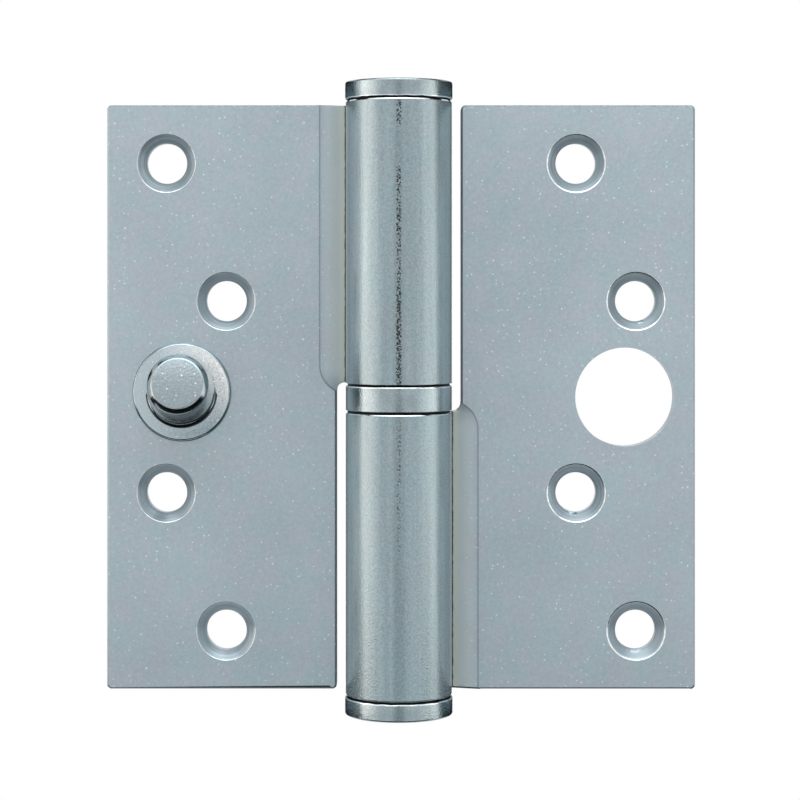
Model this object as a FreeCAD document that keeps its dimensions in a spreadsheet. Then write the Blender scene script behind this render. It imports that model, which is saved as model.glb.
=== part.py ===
import FreeCAD, Part
import math
import os
import Sketcher
from FreeCAD import Placement, Rotation, Vector

# Lift-off ball bearing hinge, opened flat. The pin axis is Z, the leaves lie in the XZ plane with
# their countersunk faces towards -Y, and the origin is on the pin axis at mid height.

# Driving dimensions, in millimetres and degrees
SIZES = [
    ("leaf_height", 88.9, "leaf from its top edge to its bottom edge"),
    ("leaf_thickness", 3.0, "sheet of the leaves and their rolled knuckles"),
    ("closed_gap", 3.0, "between the countersunk faces of the closed leaves"),
    ("door_leaf_reach", 44.4, "pin axis to the outer edge of the door leaf"),
    ("frame_leaf_reach", 45.1, "pin axis to the outer edge of the frame leaf"),
    ("leaf_corner", 0.7, "radius of the leaf corners"),
    ("edge_break", 0.3, "front edges, where the blanking die draws the sheet down"),
    ("outer_row_margin", 9.0, "outer leaf edge to the outer pair of screw holes"),
    ("inner_row_margin", 18.1, "outer leaf edge to the inner pair of screw holes"),
    ("far_hole_height", 35.6, "mid height to the screw holes near the ends"),
    ("near_hole_height", 14.6, "mid height to the screw holes near the middle"),
    ("screw_hole", 6.15, "diameter of a screw hole"),
    ("countersink", 8.9, "diameter of its countersink"),
    ("pin_diameter", 10.0, "running part of the pin"),
    ("running_fit", 0.05, "radial play of the door knuckle on the pin"),
    ("seat_clearance", 0.03, "radial play of the parts that are pressed together"),
    ("swage_angle", 17.4, "slope of the swaged strip between leaf and knuckle"),
    ("seam_gap", 0.27, "between the end of the roll and the swaged strip"),
    ("side_gap", 1.4, "between a leaf's inner edge and the other leaf's knuckle"),
    ("swage_radius", 4.4, "rounded end of the swaged strip"),
    ("swage_tail", 0.15, "end of the swaged strip below the notch corner"),
    ("notch_radius", 1.2, "corner of the notch beside the bearing"),
    ("knuckle_rise", 0.4, "end of a knuckle beyond the leaf edge"),
    ("bearing_height", 4.4, "between the facing ends of the knuckles"),
    ("band_gap", 0.3, "between the bearing band and each knuckle"),
    ("band_wall", 0.25, "wall of the bearing band, a drawn shell"),
    ("race_play", 0.25, "radial play of races and cage on the pin"),
    ("race_float", 0.08, "radial play of the upper race in the band"),
    ("race_gap", 0.8, "between the faces of the two races"),
    ("ball_diameter", 1.5, "bearing ball"),
    ("ball_play", 0.04, "play of a ball in its raceway"),
    ("ball_count", 14, "balls in the cage"),
    ("cage_thickness", 0.5, "ball cage"),
    ("cage_width", 1.9, "ball cage, from bore to rim"),
    ("pocket_play", 0.05, "play of a ball in its cage window"),
    ("cap_diameter", 16.3, "end cap"),
    ("cap_height", 2.95, "end cap above the end of the knuckle"),
    ("cap_break", 0.35, "chamfer on the outer edge of an end cap"),
    ("cap_seam", 0.3, "groove between cap rim and knuckle"),
    ("cap_shoulder", 0.25, "depth of that groove"),
    ("cap_stem", 5.0, "stem of a cap in the knuckle"),
    ("pin_end_gap", 1.85, "between the tip of the pin and the top cap"),
    ("pin_taper", 1.5, "length of the tapered tip of the pin"),
    ("pin_tip_inset", 0.8, "how much narrower the tip's end is"),
    ("stud_margin", 11.4, "outer edge of the door leaf to the security stud"),
    ("stud_height", 0.8, "security stud above mid height"),
    ("collar_diameter", 15.1, "flat collar of the stud"),
    ("collar_thickness", 0.8, "flat collar of the stud"),
    ("stud_root", 11.2, "diameter of the stud on its collar"),
    ("stud_neck", 9.4, "diameter of the stud below its bevel"),
    ("stud_face", 7.7, "diameter of the stud's flat end"),
    ("stud_cone", 6.4, "collar to the stud's bevel"),
    ("stud_bevel", 0.7, "height of the bevel at the stud's end"),
    ("stud_lean", 13.2, "lean of the stud towards the upper end"),
    ("stud_shank", 7.0, "diameter of the shank through the leaf"),
    ("rivet_head", 9.8, "diameter of the closed head at the back"),
    ("bolt_hole_margin", 10.7, "outer edge of the frame leaf to the stud's hole"),
    ("bolt_hole", 15.1, "diameter of the stud's hole"),
]

document = FreeCAD.newDocument("BallBearingHinge")
sheet = document.addObject("Spreadsheet::Sheet", "Sizes")
for row, (alias, size, note) in enumerate(SIZES, start=1):
    sheet.set(f"A{row}", str(size))
    sheet.setAlias(f"A{row}", alias)
    sheet.set(f"B{row}", note)
document.recompute()

# Distances that several pieces share, as expressions on the sheet
TOP = "Sizes.leaf_height / 2"
FRONT = "Sizes.closed_gap / 2"
BACK = f"({FRONT} + Sizes.leaf_thickness)"
PIN = "Sizes.pin_diameter / 2"
BORE = f"({PIN} + Sizes.running_fit)"
SEATED = f"({BORE} - Sizes.seat_clearance)"
BARREL = f"({BORE} + Sizes.leaf_thickness)"
KNUCKLE_TOP = f"({TOP} + Sizes.knuckle_rise)"
KNUCKLE_FOOT = "Sizes.bearing_height / 2"
INNER_EDGE = f"({BARREL} + Sizes.side_gap)"
SLOPE = "Sizes.swage_angle * 1 deg"
CREASE_FRONT = f"(({BORE} - {FRONT} * cos({SLOPE})) / sin({SLOPE}))"
CREASE_BACK = f"(({BARREL} - {BACK} * cos({SLOPE})) / sin({SLOPE}))"
SWAGE_WIDTH = f"({CREASE_FRONT} - {INNER_EDGE})"
SWAGE_END = f"({KNUCKLE_FOOT} - Sizes.notch_radius - Sizes.swage_tail)"
SWAGE_START = (
    f"({SWAGE_END} + sqrt(Sizes.swage_radius ^ 2 - (Sizes.swage_radius - {SWAGE_WIDTH}) ^ 2))"
)
BAND_BORE = f"({BARREL} - Sizes.band_wall)"
BALL_PITCH = f"(({PIN} + Sizes.race_play + {BAND_BORE}) / 2)"
TOLERANCE = 1e-4

# Flat facets of a hidden ball, few because the balls are many
BALL_RINGS = 4
BALL_SIDES = 8


def number(expression):
    """Value of an expression on the sheet, as a plain number."""
    found = sheet.evalExpression(expression)
    return float(getattr(found, "Value", found))


def new_body(label):
    body = document.addObject("PartDesign::Body", label)
    body.Label = label
    return body


def new_sketch(body, name, plane, height="0"):
    """Sketch on one of the body's own planes, moved along the plane's normal by height."""
    sketch = body.newObject("Sketcher::SketchObject", name)
    support = next(item for item in body.Origin.OriginFeatures if item.Role == plane)
    sketch.AttachmentSupport = [(support, "")]
    sketch.MapMode = "FlatFace"
    sketch.setExpression(".AttachmentOffset.Base.z", height)
    return sketch


def bind(sketch, constraint, expression):
    index = sketch.addConstraint(constraint)
    sketch.setExpression(f"Constraints[{index}]", expression)


def place_point(sketch, geometry, end, x, y):
    """Fix a point of the geometry at x, y from the sketch's origin."""
    across = Sketcher.Constraint("DistanceX", -1, 1, geometry, end, number(x))
    along = Sketcher.Constraint("DistanceY", -1, 1, geometry, end, number(y))
    bind(sketch, across, x)
    bind(sketch, along, y)


def arc_between(first, last, radius, turn):
    """Short arc from first to last, anticlockwise when turn is 1 and clockwise when it is -1."""
    half = (last - first) * 0.5
    height = math.sqrt(max(radius**2 - half.Length**2, 0.0))
    side = Vector(-half.y, half.x, 0).normalize()
    centre = first + half + side * height * turn
    start, end = (first, last) if turn > 0 else (last, first)
    start_angle = math.atan2(start.y - centre.y, start.x - centre.x)
    end_angle = math.atan2(end.y - centre.y, end.x - centre.x)
    return Part.ArcOfCircle(Part.Circle(centre, Vector(0, 0, 1), radius), start_angle, end_angle)


def draw_outline(sketch, corners, arcs=None):
    """Closed outline through corners given as pairs of expressions.

    arcs gives the sides that are round: side number to its radius and turn.
    """
    arcs = arcs or {}
    points = [Vector(number(x), number(y), 0) for x, y in corners]
    ends = []
    for side, first in enumerate(points):
        last = points[(side + 1) % len(points)]
        radius, turn = arcs.get(side, (None, 1))
        if radius:
            index = sketch.addGeometry(arc_between(first, last, number(radius), turn), False)
            bind(sketch, Sketcher.Constraint("Radius", index, number(radius)), radius)
        else:
            index = sketch.addGeometry(Part.LineSegment(first, last), False)
        ends.append((index, 1, 2) if turn > 0 else (index, 2, 1))
    for side, (index, start, end) in enumerate(ends):
        following, following_start, _ = ends[(side + 1) % len(ends)]
        sketch.addConstraint(
            Sketcher.Constraint("Coincident", index, end, following, following_start)
        )
        place_point(sketch, index, start, *corners[side])


def draw_circle(sketch, x, y, radius):
    centre = Vector(number(x), number(y), 0)
    circle = Part.Circle(centre, Vector(0, 0, 1), number(radius))
    index = sketch.addGeometry(circle, False)
    place_point(sketch, index, 3, x, y)
    bind(sketch, Sketcher.Constraint("Radius", index, number(radius)), radius)


def pad(body, name, sketch, length):
    feature = body.newObject("PartDesign::Pad", name)
    feature.Profile = sketch
    feature.setExpression("Length", length)
    return feature


def cut_through(body, name, sketch):
    """Pocket through everything, both ways from its sketch."""
    document.recompute()
    before = body.Shape.Volume
    feature = body.newObject("PartDesign::Pocket", name)
    feature.Profile = sketch
    feature.SideType = "Symmetric"
    feature.Type = "ThroughAll"
    document.recompute()
    if not body.Shape.Volume < before - TOLERANCE:
        raise RuntimeError(f"{name} cuts nothing")


def drill(body, name, sketch, diameter, sink, from_back=False):
    """Holes with a 90 degree countersink at the circles of the sketch."""
    document.recompute()
    before = body.Shape.Volume
    feature = body.newObject("PartDesign::Hole", name)
    feature.Profile = sketch
    document.recompute()
    feature.ThreadType = "None"
    feature.DepthType = "ThroughAll"
    feature.Reversed = from_back
    feature.setExpression("Diameter", diameter)
    feature.HoleCutType = "Countersink"
    feature.HoleCutCustomValues = True
    feature.HoleCutCountersinkAngle = 90
    feature.setExpression("HoleCutDiameter", sink)
    document.recompute()
    if not body.Shape.Volume < before - TOLERANCE:
        raise RuntimeError(f"{name} cuts nothing")


def dress_edges(body, kind, name, size, chosen):
    """Fillet or chamfer the edges of the body's last feature for which chosen says yes."""
    document.recompute()
    base = body.Tip
    edges = [
        f"Edge{index}" for index, edge in enumerate(base.Shape.Edges, start=1) if chosen(edge)
    ]
    if not edges:
        raise RuntimeError(f"{name} finds no edge")
    feature = body.newObject(f"PartDesign::{kind}", name)
    feature.Base = (base, edges)
    feature.setExpression("Radius" if kind == "Fillet" else "Size", size)


def turned_body(label, corners, arcs=None):
    """Body turned about the Z axis from an outline in radius and height."""
    body = new_body(label)
    sketch = new_sketch(body, f"{label}_profile", "XZ_Plane")
    draw_outline(sketch, corners, arcs)
    revolution = body.newObject("PartDesign::Revolution", f"{label}_turning")
    revolution.Profile = sketch
    revolution.ReferenceAxis = (sketch, ["V_Axis"])
    revolution.Angle = 360
    return body


def turn_about_y(body, name, profile):
    """Revolve the profile about its own vertical axis."""
    turning = body.newObject("PartDesign::Revolution", name)
    turning.Profile = profile
    turning.ReferenceAxis = (profile, ["V_Axis"])
    turning.Angle = 360


# Leaves


def leaf_plate(label, reach):
    """Flat plate with softened front edges and four countersunk holes in a zigzag."""
    body = new_body(f"{label}_plate")
    outline = new_sketch(body, f"{label}_outline", "XZ_Plane", f"-{BACK}")
    corners = [
        (f"-{CREASE_FRONT}", TOP),
        (f"-{reach}", TOP),
        (f"-{reach}", f"-{TOP}"),
        (f"-{INNER_EDGE}", f"-{TOP}"),
        (f"-{INNER_EDGE}", SWAGE_END),
        (f"-{CREASE_FRONT}", SWAGE_START),
    ]
    draw_outline(outline, corners, {4: ("Sizes.swage_radius", -1)})
    pad(body, f"{label}_sheet", outline, "Sizes.leaf_thickness")

    crease = -number(CREASE_FRONT)
    swage_end = number(SWAGE_END)
    front = number(FRONT)

    def is_corner(edge):
        upright = edge.BoundBox.YLength > number("Sizes.leaf_thickness") - TOLERANCE
        place = edge.CenterOfMass
        return upright and (place.x < crease - TOLERANCE or place.z < 0)

    def is_front_edge(edge):
        on_front = edge.BoundBox.YMax < front + TOLERANCE
        place = edge.CenterOfMass
        return on_front and (place.x < crease - TOLERANCE or place.z < swage_end - TOLERANCE)

    dress_edges(body, "Fillet", f"{label}_corners", "Sizes.leaf_corner", is_corner)
    dress_edges(body, "Chamfer", f"{label}_front_edges", "Sizes.edge_break", is_front_edge)

    outer_row = f"-({reach} - Sizes.outer_row_margin)"
    inner_row = f"-({reach} - Sizes.inner_row_margin)"
    holes = new_sketch(body, f"{label}_hole_centres", "XZ_Plane", f"-{FRONT}")
    for x, y in (
        (outer_row, "Sizes.far_hole_height"),
        (inner_row, "Sizes.near_hole_height"),
        (outer_row, "-Sizes.near_hole_height"),
        (inner_row, "-Sizes.far_hole_height"),
    ):
        draw_circle(holes, x, y, "Sizes.screw_hole / 2")
    drill(body, f"{label}_screw_holes", holes, "Sizes.screw_hole", "Sizes.countersink")
    return body


def leaf_knuckle(label):
    """Rolled knuckle, open at its seam, with the swaged strip that leads to the leaf."""
    body = new_body(f"{label}_roll")
    ring = new_sketch(body, f"{label}_ring", "XY_Plane", KNUCKLE_FOOT)
    draw_circle(ring, "0", "0", BARREL)
    draw_circle(ring, "0", "0", BORE)
    pad(body, f"{label}_tube", ring, f"{KNUCKLE_TOP} - {KNUCKLE_FOOT}")

    strip = new_sketch(body, f"{label}_strip_section", "XY_Plane", SWAGE_END)
    strip_corners = [
        (f"-{CREASE_BACK}", FRONT),
        (f"-{CREASE_FRONT}", FRONT),
        (f"-{BORE} * sin({SLOPE})", f"{BORE} * cos({SLOPE})"),
        (f"-{BARREL} * sin({SLOPE})", f"{BARREL} * cos({SLOPE})"),
        (f"-{CREASE_BACK}", BACK),
    ]
    draw_outline(strip, strip_corners)
    pad(body, f"{label}_strip", strip, f"{TOP} - {SWAGE_END}")

    # The roll ends just short of the strip's front, on a radius of the pin axis
    closeness = f"(({BORE} - Sizes.seam_gap) / {BARREL})"
    roll_end = f"(asin({closeness}) - {SLOPE})"
    meeting = f"({BORE} / {closeness})"
    seam = new_sketch(body, f"{label}_seam_section", "XY_Plane", TOP)
    seam_corners = [
        (f"-{BORE} * sin({SLOPE})", f"{BORE} * cos({SLOPE})"),
        (f"-{meeting} * cos({roll_end})", f"{meeting} * sin({roll_end})"),
        (f"-{PIN} / 2 * cos({roll_end})", f"{PIN} / 2 * sin({roll_end})"),
    ]
    draw_outline(seam, seam_corners)
    cut_through(body, f"{label}_seam", seam)

    beyond = f"-({CREASE_BACK} + Sizes.leaf_thickness)"
    below = f"{SWAGE_END} - Sizes.leaf_thickness"
    relief = new_sketch(body, f"{label}_relief", "XZ_Plane")
    relief_corners = [
        (beyond, SWAGE_START),
        (f"-{CREASE_FRONT}", SWAGE_START),
        (f"-{INNER_EDGE}", SWAGE_END),
        (f"-{INNER_EDGE}", f"{KNUCKLE_FOOT} - Sizes.notch_radius"),
        (f"-{INNER_EDGE} + Sizes.notch_radius", KNUCKLE_FOOT),
        (BARREL, KNUCKLE_FOOT),
        (BARREL, below),
        (beyond, below),
    ]
    draw_outline(
        relief, relief_corners, {1: ("Sizes.swage_radius", 1), 3: ("Sizes.notch_radius", -1)}
    )
    cut_through(body, f"{label}_notch", relief)
    return body


def join_leaf(label, plate, roll):
    leaf = document.addObject("Part::MultiFuse", label)
    leaf.Label = label
    leaf.Shapes = [plate, roll]
    leaf.Refine = True
    return leaf


def door_leaf():
    """Leaf with the upper knuckle and a riveting hole, sunk at the back, for the stud."""
    reach = "Sizes.door_leaf_reach"
    plate = leaf_plate("door_leaf", reach)
    centre = new_sketch(plate, "rivet_hole_centre", "XZ_Plane", f"-{BACK}")
    diameter = "Sizes.stud_shank + 2 * Sizes.seat_clearance"
    sink = "Sizes.rivet_head + 2 * Sizes.seat_clearance"
    draw_circle(centre, f"-({reach} - Sizes.stud_margin)", "Sizes.stud_height", f"({diameter}) / 2")
    drill(plate, "rivet_hole", centre, diameter, sink, from_back=True)
    return join_leaf("door_leaf", plate, leaf_knuckle("door_leaf"))


def frame_leaf():
    """Leaf with the lower knuckle and the hole that takes the stud, turned end for end."""
    reach = "Sizes.frame_leaf_reach"
    plate = leaf_plate("frame_leaf", reach)
    centre = new_sketch(plate, "bolt_hole_centre", "XZ_Plane", f"-{FRONT}")
    draw_circle(centre, f"-({reach} - Sizes.bolt_hole_margin)", "0", "Sizes.bolt_hole / 2")
    cut_through(plate, "bolt_hole", centre)
    leaf = join_leaf("frame_leaf", plate, leaf_knuckle("frame_leaf"))
    leaf.Placement = Placement(Vector(0, 0, 0), Rotation(Vector(0, 1, 0), 180))
    return leaf


# Pin and end caps


def hinge_pin():
    """Pin, pressed into the lower knuckle and free in the upper one."""
    foot = f"-({KNUCKLE_TOP} - Sizes.cap_stem)"
    tip = f"({KNUCKLE_TOP} - Sizes.cap_stem - Sizes.pin_end_gap)"
    return turned_body(
        "hinge_pin",
        [
            ("0", foot),
            (SEATED, foot),
            (SEATED, f"-{KNUCKLE_FOOT}"),
            (PIN, f"-{KNUCKLE_FOOT}"),
            (PIN, f"{tip} - Sizes.pin_taper"),
            (f"{PIN} - Sizes.pin_tip_inset", tip),
            ("0", tip),
        ],
    )


def end_cap(label, turn):
    """Cap with a stem in the knuckle; a shoulder leaves a fine groove below its rim."""
    rim = "Sizes.cap_diameter / 2"
    shoulder = f"({BARREL} - Sizes.cap_shoulder)"
    face = f"({KNUCKLE_TOP} + Sizes.cap_height)"
    stem_end = f"({KNUCKLE_TOP} - Sizes.cap_stem)"
    cap = turned_body(
        label,
        [
            ("0", stem_end),
            (SEATED, stem_end),
            (SEATED, KNUCKLE_TOP),
            (shoulder, KNUCKLE_TOP),
            (shoulder, f"{KNUCKLE_TOP} + Sizes.cap_seam"),
            (rim, f"{KNUCKLE_TOP} + Sizes.cap_seam"),
            (rim, f"{face} - Sizes.cap_break"),
            (f"{rim} - Sizes.cap_break", face),
            ("0", face),
        ],
    )
    cap.Placement = Placement(Vector(0, 0, 0), Rotation(Vector(0, 1, 0), turn))
    return cap


# Ball bearing between the knuckles


def bearing_band():
    """Visible ring, flush with the knuckles, pressed on the lower race."""
    half = f"({KNUCKLE_FOOT} - Sizes.band_gap)"
    corners = [(BAND_BORE, f"-{half}"), (BARREL, f"-{half}"), (BARREL, half), (BAND_BORE, half)]
    return turned_body("bearing_band", corners)


def race(label, side, play):
    """Race that rests on a knuckle, with a V-shaped raceway. side is 1 above the balls."""
    seat = f"{side} * {KNUCKLE_FOOT}"
    face = f"{side} * Sizes.race_gap / 2"
    low, high = (face, seat) if side > 0 else (seat, face)
    bore = f"{PIN} + Sizes.race_play"
    rim = f"{BAND_BORE} - {play}"
    body = turned_body(label, [(bore, low), (rim, low), (rim, high), (bore, high)])
    document.recompute()
    before = body.Shape.Volume
    section = new_sketch(body, f"{label}_raceway_section", "XZ_Plane")
    reach = "sqrt(2) * (Sizes.ball_diameter / 2 + Sizes.ball_play)"
    diamond = [
        (f"{BALL_PITCH} - {reach}", "0"),
        (BALL_PITCH, f"-{reach}"),
        (f"{BALL_PITCH} + {reach}", "0"),
        (BALL_PITCH, reach),
    ]
    draw_outline(section, diamond)
    raceway = body.newObject("PartDesign::Groove", f"{label}_raceway")
    raceway.Profile = section
    raceway.ReferenceAxis = (section, ["V_Axis"])
    raceway.Angle = 360
    document.recompute()
    if not body.Shape.Volume < before - TOLERANCE:
        raise RuntimeError(f"{label} has no raceway")
    return body


def ball_cage():
    """Flat ring with one square window for each ball."""
    inner = f"{BALL_PITCH} - Sizes.cage_width / 2"
    outer = f"{BALL_PITCH} + Sizes.cage_width / 2"
    half = "Sizes.cage_thickness / 2"
    corners = [(inner, f"-{half}"), (outer, f"-{half}"), (outer, half), (inner, half)]
    body = turned_body("ball_cage", corners)
    section = new_sketch(body, "pocket_section", "XY_Plane")
    play = "(Sizes.ball_diameter / 2 + Sizes.pocket_play)"
    window = [
        (f"{BALL_PITCH} - {play}", f"-{play}"),
        (f"{BALL_PITCH} + {play}", f"-{play}"),
        (f"{BALL_PITCH} + {play}", play),
        (f"{BALL_PITCH} - {play}", play),
    ]
    draw_outline(section, window)
    cut_through(body, "pocket", section)
    pattern = body.newObject("PartDesign::PolarPattern", "pockets")
    pattern.Originals = [document.getObject("pocket")]
    axis = next(item for item in body.Origin.OriginFeatures if item.Role == "Z_Axis")
    pattern.Axis = (axis, [""])
    pattern.Angle = 360
    pattern.setExpression("Occurrences", "Sizes.ball_count")
    body.Tip = pattern
    return body


def faceted_ball(radius):
    """Ball with flat facets between rings of latitude. Its corners lie on the true sphere."""
    rings = []
    for step in range(BALL_RINGS + 1):
        slope = math.pi * step / BALL_RINGS
        ring = radius * math.sin(slope)
        height = radius * math.cos(slope)
        turns = [2 * math.pi * side / BALL_SIDES for side in range(BALL_SIDES)]
        rings.append([Vector(ring * math.cos(a), ring * math.sin(a), height) for a in turns])
    faces = []
    for step in range(BALL_RINGS):
        upper, lower = rings[step], rings[step + 1]
        for side in range(BALL_SIDES):
            after = (side + 1) % BALL_SIDES
            corners = [upper[side], lower[side], lower[after], upper[after]]
            if step == 0:
                corners.pop(3)
            if step == BALL_RINGS - 1:
                corners.pop(2)
            faces.append(Part.Face(Part.makePolygon(corners + corners[:1])))
    return Part.Solid(Part.Shell(faces))


def bearing_balls():
    balls = []
    count = int(number("Sizes.ball_count"))
    shape = faceted_ball(number("Sizes.ball_diameter / 2"))
    pitch = number(BALL_PITCH)
    for index in range(count):
        ball = document.addObject("Part::Feature", f"ball_{index + 1:02d}")
        ball.Label = f"ball_{index + 1:02d}"
        ball.Shape = shape
        turn = 2 * math.pi * index / count
        place = Vector(pitch * math.cos(turn), pitch * math.sin(turn), 0)
        ball.Placement = Placement(place, Rotation(Vector(0, 0, 1), math.degrees(turn)))
        balls.append(ball)
    return balls


# Security stud


def security_stud():
    """Stud riveted through the door leaf. It leans a little towards the upper end."""
    body = new_body("security_stud")
    collar_face = f"({FRONT} - Sizes.collar_thickness)"
    taper = "((Sizes.stud_root - Sizes.stud_neck) / 2 / Sizes.stud_cone)"
    root = "Sizes.stud_root / 2"
    buried = "Sizes.stud_shank / 2"
    profile = new_sketch(body, "cone_profile", "XY_Plane")
    cone_corners = [
        ("0", buried),
        (f"{root} + {taper} * {buried}", buried),
        ("Sizes.stud_neck / 2", "-Sizes.stud_cone"),
        ("Sizes.stud_face / 2", "-(Sizes.stud_cone + Sizes.stud_bevel)"),
        ("0", "-(Sizes.stud_cone + Sizes.stud_bevel)"),
    ]
    draw_outline(profile, cone_corners)
    lean = Rotation(Vector(1, 0, 0), -number("Sizes.stud_lean"))
    profile.AttachmentOffset = Placement(Vector(0, number(collar_face), 0), lean)
    turn_about_y(body, "cone", profile)

    # What the leaning cone would bury in the leaf is cut away again
    leaf_side = new_sketch(body, "leaf_side", "XY_Plane")
    wide = "Sizes.collar_diameter"
    block = [
        (f"-{wide}", FRONT),
        (wide, FRONT),
        (wide, f"{FRONT} + {wide}"),
        (f"-{wide}", f"{FRONT} + {wide}"),
    ]
    draw_outline(leaf_side, block)
    cut_through(body, "cone_foot", leaf_side)

    sink_depth = "(Sizes.rivet_head - Sizes.stud_shank) / 2"
    collar = new_sketch(body, "collar_profile", "XY_Plane")
    collar_corners = [
        ("0", collar_face),
        ("Sizes.collar_diameter / 2", collar_face),
        ("Sizes.collar_diameter / 2", FRONT),
        ("Sizes.stud_shank / 2", FRONT),
        ("Sizes.stud_shank / 2", f"{BACK} - {sink_depth}"),
        ("Sizes.rivet_head / 2", BACK),
        ("0", BACK),
    ]
    draw_outline(collar, collar_corners)
    turn_about_y(body, "collar_and_shank", collar)
    body.setExpression(".Placement.Base.x", "-(Sizes.door_leaf_reach - Sizes.stud_margin)")
    body.setExpression(".Placement.Base.z", "Sizes.stud_height")
    return body


def build_hinge():
    return [
        door_leaf(),
        frame_leaf(),
        hinge_pin(),
        end_cap("top_cap", 0),
        end_cap("bottom_cap", 180),
        bearing_band(),
        race("lower_race", -1, "Sizes.seat_clearance"),
        race("upper_race", 1, "Sizes.race_float"),
        ball_cage(),
        *bearing_balls(),
        security_stud(),
    ]


def check_document(pieces):
    """Stop if any feature failed or any piece has no sound solid."""
    for item in document.Objects:
        if "Invalid" in item.State or "Error" in item.State:
            raise RuntimeError(f"{item.Name} failed: {item.State}")
    for piece in pieces:
        if piece.Shape.isNull() or not piece.Shape.isValid():
            raise RuntimeError(f"{piece.Label} has no valid shape")
        if len(piece.Shape.Solids) != 1:
            raise RuntimeError(f"{piece.Label} has {len(piece.Shape.Solids)} solids")


pieces = build_hinge()
document.recompute()
check_document(pieces)
os.makedirs("parts", exist_ok=True)
for piece in pieces:
    piece.Shape.exportStep(f"parts/{piece.Label}.step")
    print(f"{piece.Label}: {piece.Shape.Volume:.1f} mm3, {len(piece.Shape.Faces)} faces")
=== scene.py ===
import math

import bmesh
import bpy
from bpy.props import FloatProperty, FloatVectorProperty, IntProperty, PointerProperty
from mathutils import Matrix, Vector, noise


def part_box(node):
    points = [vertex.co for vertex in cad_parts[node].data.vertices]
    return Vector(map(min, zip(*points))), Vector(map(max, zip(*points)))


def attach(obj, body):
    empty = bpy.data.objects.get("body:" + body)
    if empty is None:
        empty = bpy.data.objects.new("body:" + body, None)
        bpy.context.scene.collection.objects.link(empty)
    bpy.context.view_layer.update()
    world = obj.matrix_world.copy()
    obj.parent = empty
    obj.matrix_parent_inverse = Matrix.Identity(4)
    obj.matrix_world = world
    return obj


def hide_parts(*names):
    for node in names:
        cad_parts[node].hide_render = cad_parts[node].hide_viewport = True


bl_info = {
    "name": "Ball Bearing Hinge",
    "version": (1, 0, 0),
    "blender": (4, 5, 0),
    "location": "View3D > Sidebar > Hinge",
    "description": "Dresses the lift-off ball bearing hinge in its zinc-plated finishes",
    "category": "Add Mesh",
}

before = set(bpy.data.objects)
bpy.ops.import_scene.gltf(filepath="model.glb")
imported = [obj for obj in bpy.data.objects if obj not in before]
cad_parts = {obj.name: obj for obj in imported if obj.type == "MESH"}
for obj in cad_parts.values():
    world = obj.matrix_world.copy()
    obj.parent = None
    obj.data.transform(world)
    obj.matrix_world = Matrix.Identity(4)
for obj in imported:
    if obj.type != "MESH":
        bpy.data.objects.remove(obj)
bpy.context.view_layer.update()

MM = 0.001
# Distance within which points are the same
MERGE = 1e-6
# Angle under which faces are one flat face, and those past which an edge is sharp, on most pieces
# and on the leaves with their shallow crease
LEVEL = math.radians(0.3)
SHARP = math.radians(30)
CREASE = math.radians(14)

# Radii and heights that several pieces share, read from the frame
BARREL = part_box("bearing_band")[1].x
BAND_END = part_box("bearing_band")[1].z
KNUCKLE_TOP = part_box("door_leaf")[1].z
KNUCKLE_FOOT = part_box("upper_race")[1].z
CAP_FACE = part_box("top_cap")[1].z
CAP_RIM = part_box("top_cap")[1].x
STEM_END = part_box("top_cap")[0].z
LEAF_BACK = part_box("security_stud")[1].y
BALLS = sorted(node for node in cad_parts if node.startswith(("ball_0", "ball_1")))

# Sheet of the leaves, and their countersunk front
SHEET = 3 * MM
LEAF_FRONT = LEAF_BACK - SHEET

# Outline of the swaged strip on the front of a leaf
SWAGE_CREASE = 12.1 * MM
SWAGE_ROUND = 4.4 * MM
SWAGE_START = 4.89 * MM
SWAGE_DEPTH = 1.8 * MM

# Groove between a knuckle and the other leaf's edge, as distances from the pin axis
GROOVE_START = 7.8 * MM
GROOVE_END = 9.6 * MM

# Stretch of a leaf, across from the pin axis and up or down from the middle, with the screw holes
SCREWS_ACROSS = (20 * MM, 42 * MM)
SCREWS_UP = (9 * MM, 42 * MM)

# Share of a face's normal along one axis, by which the faces of rims and edges are told apart
LIP_TILT = (0.35, 0.7)
WALL_TILT = -0.3
CONE_TILT = -0.74
RIM_TILT = -0.97
EDGE_TILT = 0.12
MOSTLY = 0.5

# Order of the materials on the leaves and on the security stud
FACE, ROLLED, CONE, SHEARED_PAINTED_SHADE, BURNISHED_PAINTED_HIGHLIGHT, CUT = range(6)
END, COLLAR, FLANK, ROOT = range(4)

# Sockets of a Mix node that mixes colours, and the values between which most of a noise lies
FACTOR, FIRST, SECOND, MIXED = 0, 6, 7, 2
NOISE_SPREAD = {"From Min": 0.3, "From Max": 0.7}


def linear(code):
    """Linear colour of an sRGB hex code."""
    channels = [int(code[at : at + 2], 16) / 255 for at in (1, 3, 5)]
    return tuple(c / 12.92 if c <= 0.04045 else ((c + 0.055) / 1.055) ** 2.4 for c in channels)


def per(millimetres):
    """Texture scale at which one feature is so many millimetres wide."""
    return 1 / (millimetres * MM)


# Settings that a user would change


def length(name, default, description):
    """Setting that holds a length, shown to a hundredth of a millimetre."""
    return FloatProperty(
        name=name, description=description, default=default, unit="LENGTH", precision=5
    )


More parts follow.
